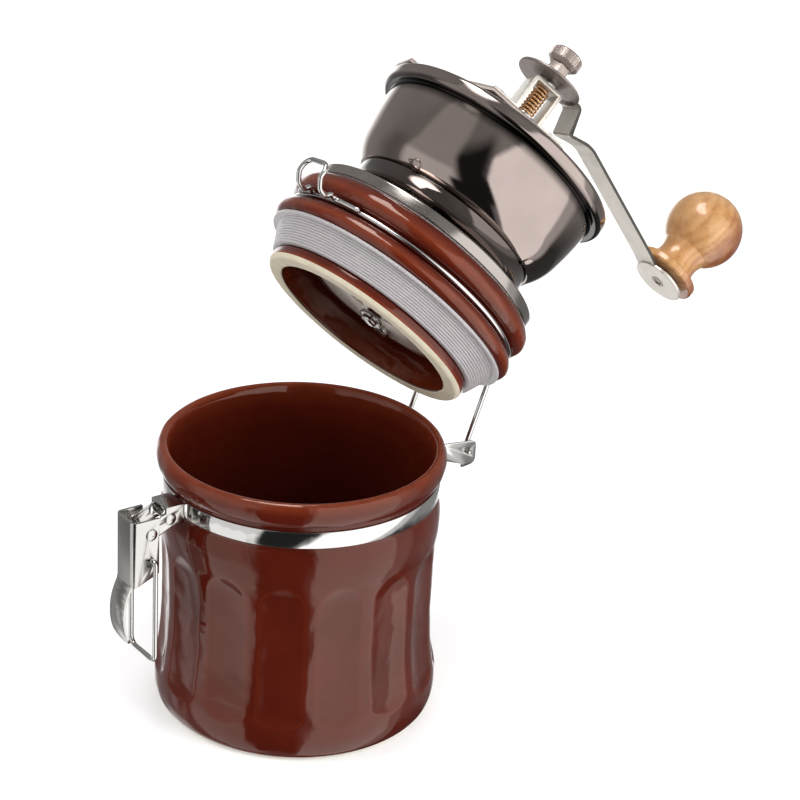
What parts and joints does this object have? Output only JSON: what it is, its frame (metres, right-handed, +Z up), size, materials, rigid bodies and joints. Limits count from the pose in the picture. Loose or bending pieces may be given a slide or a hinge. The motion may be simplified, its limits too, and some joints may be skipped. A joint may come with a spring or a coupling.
{
  "type": "manual coffee grinder",
  "caption": "Fluted glazed canister with a clip-down hinged lid carrying a metal bean hopper, conical burrs, an adjustable spring-loaded spindle and a cranked arm with a wooden knob.",
  "frame": {"origin": "centre of the jar's foot, on the surface it stands on", "axes": "+Z up along the jar's axis, -Y towards the latch, +Y towards the lid's hinge, +X to the right of someone facing the latch"},
  "size_m": [0.1042, 0.2689, 0.2293],
  "materials": {
    "glazed_ceramic": "gloss",
    "band_steel": "polished",
    "latch_steel": "polished",
    "wire_steel": "polished",
    "soft_gasket": "satin",
    "burr_iron": "matte",
    "carrier_steel": "satin",
    "hopper_steel": "polished",
    "bridge_steel": "polished",
    "copper_wire": "polished",
    "crank_steel": "satin",
    "knurled_nut": "satin",
    "turned_wood": "satin"
  },
  "bodies": {
    "jar_body": {"jar": "glazed_ceramic", "jar_band": "band_steel", "latch_rivet": "latch_steel", "latch_saddle": "band_steel", "latch_pivot_pin": "latch_steel", "hinge_bracket": "band_steel"},
    "lever": {"latch_lever": "latch_steel"},
    "bail": {"latch_bail": "wire_steel"},
    "lid": {"lid_body": "glazed_ceramic", "lid_gasket": "soft_gasket", "lid_wire": "wire_steel", "lid_hook": "wire_steel", "outer_burr": "burr_iron", "burr_carrier": "carrier_steel", "mount_bolts": "carrier_steel", "mount_nuts": "carrier_steel", "flange_seal": "soft_gasket", "hopper_base": "hopper_steel", "hopper_bowl": "hopper_steel", "hopper_funnel": "hopper_steel", "shaft_guide": "carrier_steel", "hopper_bridge": "bridge_steel", "arch_bracket": "bridge_steel", "arch_screws": "bridge_steel", "arch_nuts": "carrier_steel", "upper_bush": "bridge_steel", "spring_seat": "bridge_steel", "adjuster_spring": "copper_wire"},
    "crank": {"drive_shaft": "carrier_steel", "shaft_clip": "carrier_steel", "inner_burr": "burr_iron", "crank_arm": "crank_steel", "thrust_washer": "bridge_steel", "crank_washer": "crank_steel", "crank_collar": "crank_steel", "thumb_nut": "knurled_nut", "knob_spindle": "crank_steel", "knob_washer": "crank_steel"},
    "knob_body": {"knob": "turned_wood"}
  },
  "joints": [
    {"name": "lid_hinge", "type": "hinge", "parent": "jar_body", "child": "lid", "pos_m": [0, 0.067, 0.0847], "axis": [1, 0, 0], "range_deg": [-10, 49.4]},
    {"name": "crank_spin", "type": "hinge", "parent": "lid", "child": "crank", "pos_m": [0, 0.07298, 0.17807], "axis": [0, 0.7593, 0.6508], "continuous": true},
    {"name": "knob_spin", "type": "hinge", "parent": "crank", "child": "knob_body", "pos_m": [0.02803, 0.15546, 0.13515], "axis": [0.035, 0.8245, 0.5648], "continuous": true},
    {"name": "lever_pivot", "type": "hinge", "parent": "jar_body", "child": "lever", "pos_m": [-0.00907, -0.06456, 0.0845], "axis": [0.9903, -0.1392, 0], "range_deg": [-88, 0]},
    {"name": "bail_pivot", "type": "hinge", "parent": "lever", "child": "bail", "pos_m": [-0.00903, -0.06427, 0.0745], "axis": [-0.9903, 0.1392, 0], "range_deg": [-8, 195]}
  ]
}
